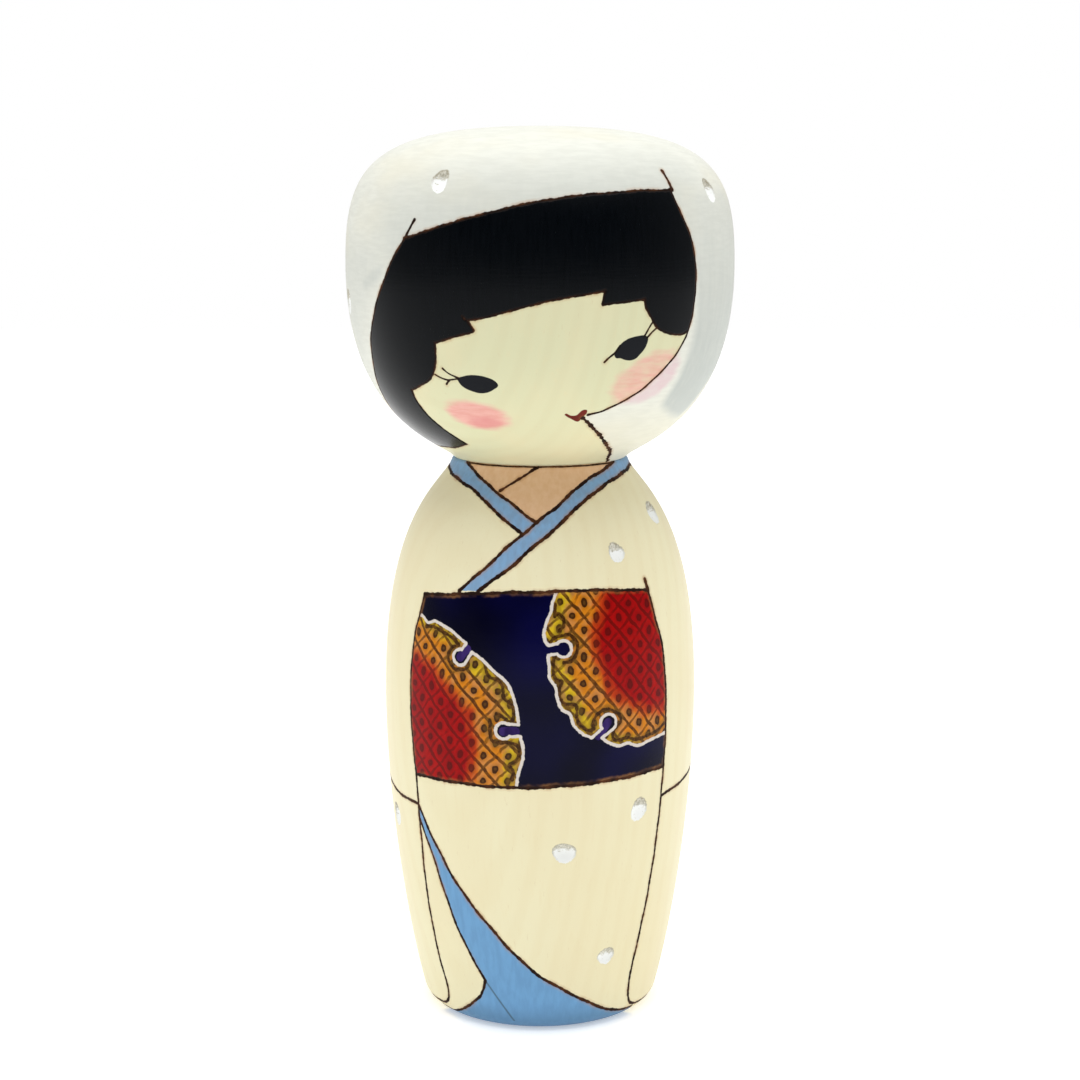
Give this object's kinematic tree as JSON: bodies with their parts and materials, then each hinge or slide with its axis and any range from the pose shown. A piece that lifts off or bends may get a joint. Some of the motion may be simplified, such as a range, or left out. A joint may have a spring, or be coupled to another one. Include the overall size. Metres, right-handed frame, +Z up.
{
  "type": "kokeshi doll",
  "caption": "Turned wooden kokeshi doll with a broad head that turns on a tapering body, shallow snow scoops and painted hood, kimono and obi.",
  "frame": {"origin": "middle of the flat base, on the surface the doll stands on", "axes": "+Z up along the turning axis, -Y the way the face looks, +X to the right in a front view"},
  "size_m": [0.0588, 0.0588, 0.136],
  "materials": {
    "painted_body": "pale turned wood with burned line work, paint and a satin lacquer",
    "painted_head": "pale turned wood with a white painted hood, black hair, burned line work and a satin lacquer",
    "bare_wood": "plain sanded dowel"
  },
  "bodies": {
    "body": {"body": "painted_body"},
    "head": {"head": "painted_head", "neck_peg": "bare_wood"}
  },
  "joints": [
    {"name": "head_turn", "type": "hinge", "parent": "body", "child": "head", "pos_m": [0, 0, 0.0862], "axis": [0, 0, 1], "continuous": true}
  ]
}
